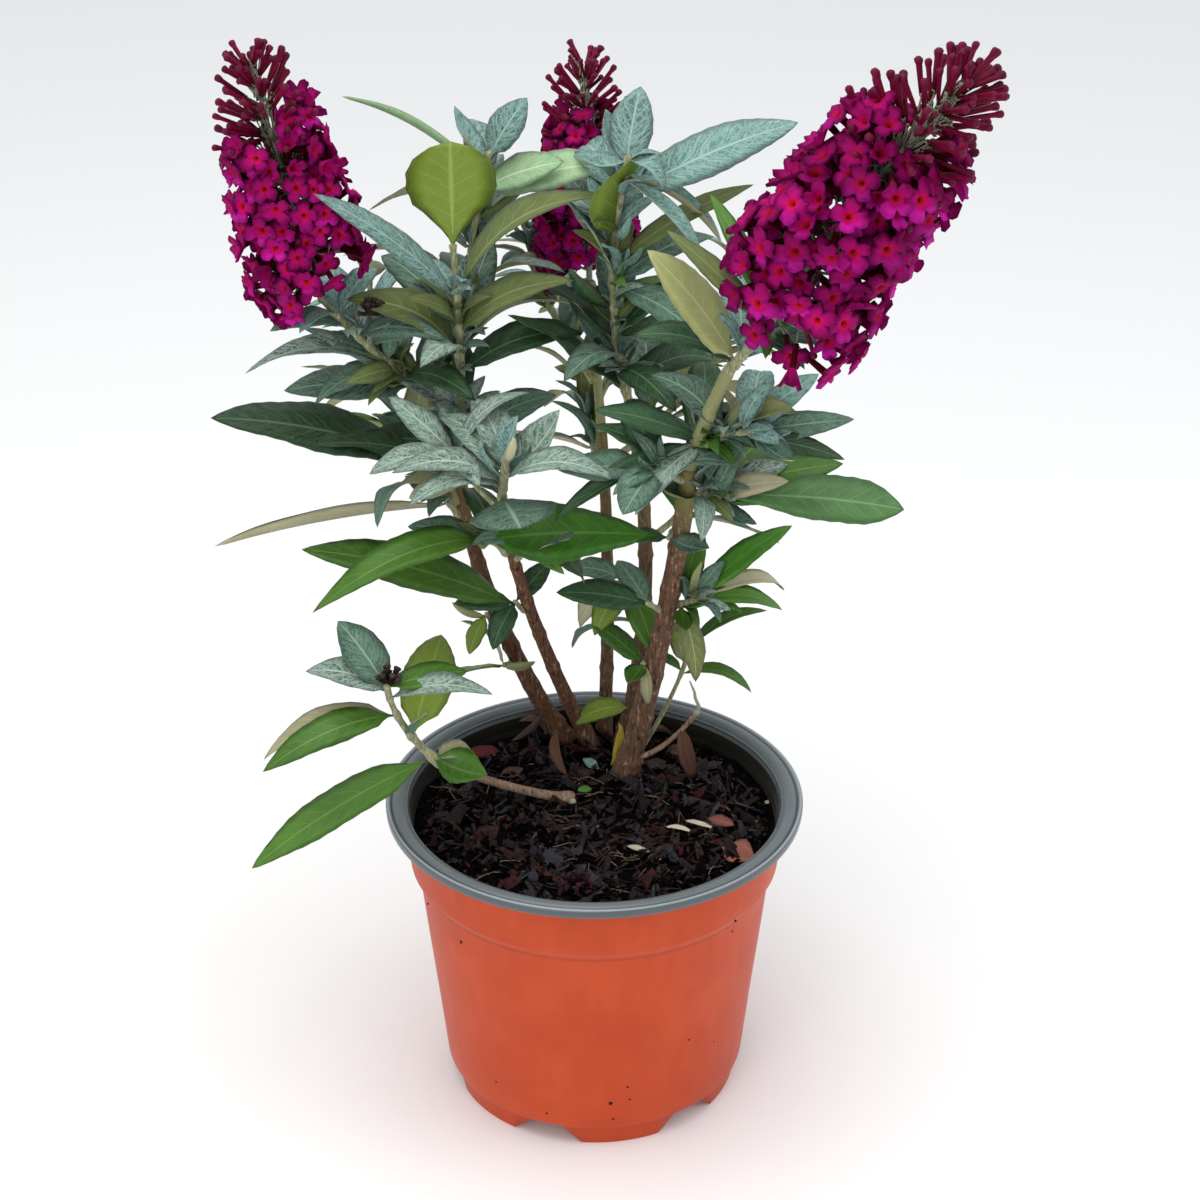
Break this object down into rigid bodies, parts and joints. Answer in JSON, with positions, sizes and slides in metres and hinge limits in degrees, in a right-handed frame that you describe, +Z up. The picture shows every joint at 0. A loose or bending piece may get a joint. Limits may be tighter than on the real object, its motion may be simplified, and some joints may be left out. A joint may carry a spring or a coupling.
{
  "type": "potted butterfly bush",
  "caption": "Young potted butterfly bush: woody canes and leafy shoots with upright magenta flower spikes, in a terracotta-coloured plastic nursery pot with a grey rolled rim.",
  "frame": {"origin": "middle of the flat pad under the pot, at the level of its feet", "axes": "+Z up, +X to the right and -Y towards the viewer of the picture"},
  "size_m": [0.2855, 0.2418, 0.4654],
  "materials": {
    "pot_terracotta": "satin",
    "rim_grey": "satin",
    "bark_mulch": "loose, damp",
    "brown_bark": "rough bark",
    "green_bark": "young felted stem",
    "leaf_green": "satin upper side, felted underside",
    "flower_magenta": "soft petals"
  },
  "bodies": {
    "root": {"pot_shell": "pot_terracotta", "pot_liner": "rim_grey", "soil": "bark_mulch", "cane_left": "brown_bark", "cane_front": "brown_bark", "cane_right": "brown_bark", "cane_centre": "brown_bark", "cane_back": "brown_bark", "branch_low": "brown_bark", "bough_left": "green_bark", "bough_right": "green_bark", "bough_back": "green_bark", "twig_dry": "green_bark", "leaves_left_low": "leaf_green", "leaves_front": "leaf_green", "leaves_front_low": "leaf_green", "leaves_front_right": "leaf_green", "leaves_right_low": "leaf_green", "leaves_right": "leaf_green", "leaves_low": "leaf_green", "leaves_tall": "leaf_green", "leaves_right_top": "leaf_green", "leaves_left": "leaf_green", "leaves_left_top": "leaf_green", "leaves_centre": "leaf_green", "leaves_right_inner": "leaf_green", "leaves_right_stem": "leaf_green", "leaves_right_foot": "leaf_green", "leaves_left_foot": "leaf_green", "leaves_centre_low": "leaf_green", "leaves_sprig": "leaf_green", "leaves_back_left": "leaf_green", "leaves_back_right": "leaf_green", "leaves_back": "leaf_green", "leaves_back_low": "leaf_green", "leaves_back_top": "leaf_green", "spike_left": "flower_magenta", "spike_middle": "flower_magenta", "spike_right": "flower_magenta"}
  },
  "joints": []
}
